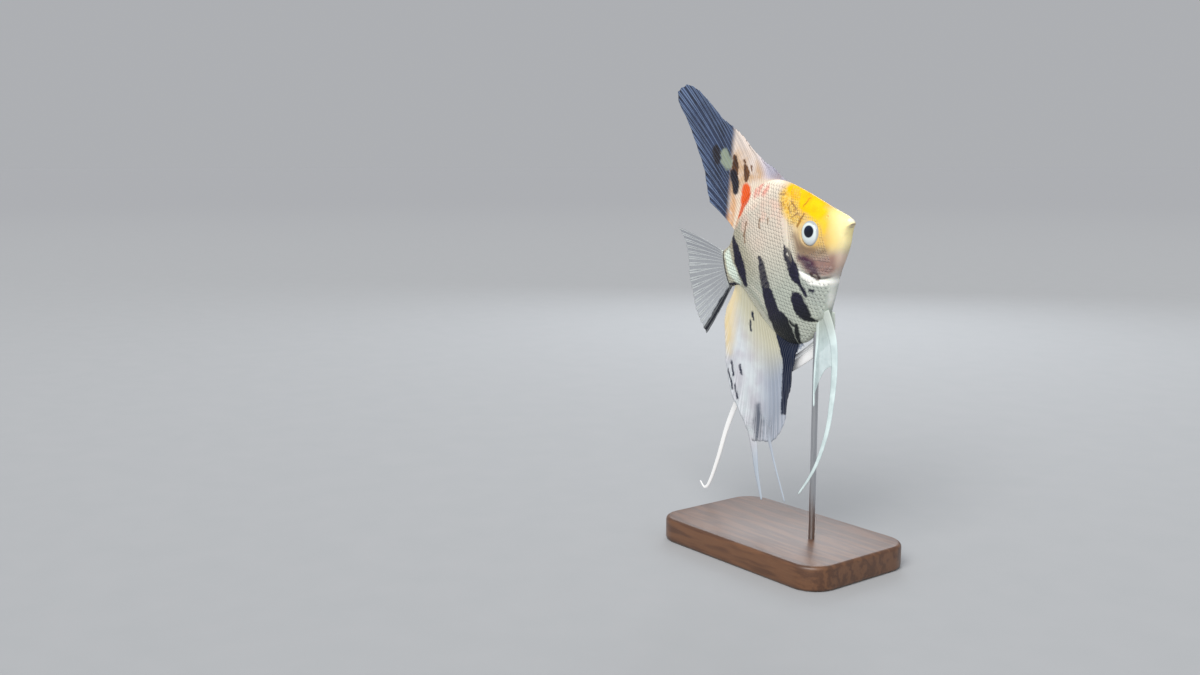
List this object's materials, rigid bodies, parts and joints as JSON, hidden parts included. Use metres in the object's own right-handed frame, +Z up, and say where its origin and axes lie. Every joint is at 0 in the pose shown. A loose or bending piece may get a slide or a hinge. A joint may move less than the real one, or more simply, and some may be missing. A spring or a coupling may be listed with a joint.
{
  "type": "freshwater angelfish display model",
  "caption": "Life-size tall, flat-bodied angelfish with long sail-like fins and thin streamers, held nose up on a slim rod over a flat wooden base.",
  "frame": {"origin": "middle of the stand base's underside", "axes": "+X the way the fish faces, +Y its left side, +Z up"},
  "size_m": [0.0896, 0.046, 0.1557],
  "materials": {
    "skin": "pearly scaled skin with black bars and a yellow forehead",
    "fin_membrane": "thin translucent membrane with pale rays",
    "eye": "wet white iris with a black pupil",
    "stand_wood": "satin dark walnut",
    "stand_steel": "satin steel"
  },
  "bodies": {
    "root": {"head": "skin", "lower_jaw": "skin", "gill_cover_right": "skin", "gill_cover_left": "skin", "trunk": "skin", "tail_stalk": "skin", "eye_right": "eye", "eye_left": "eye", "dorsal_fin": "fin_membrane", "anal_fin": "fin_membrane", "caudal_fin": "fin_membrane", "pectoral_fin_right": "fin_membrane", "pectoral_fin_left": "fin_membrane", "pelvic_fin_right": "fin_membrane", "pelvic_fin_left": "fin_membrane", "stand_base": "stand_wood", "stand_rod": "stand_steel"}
  },
  "joints": []
}
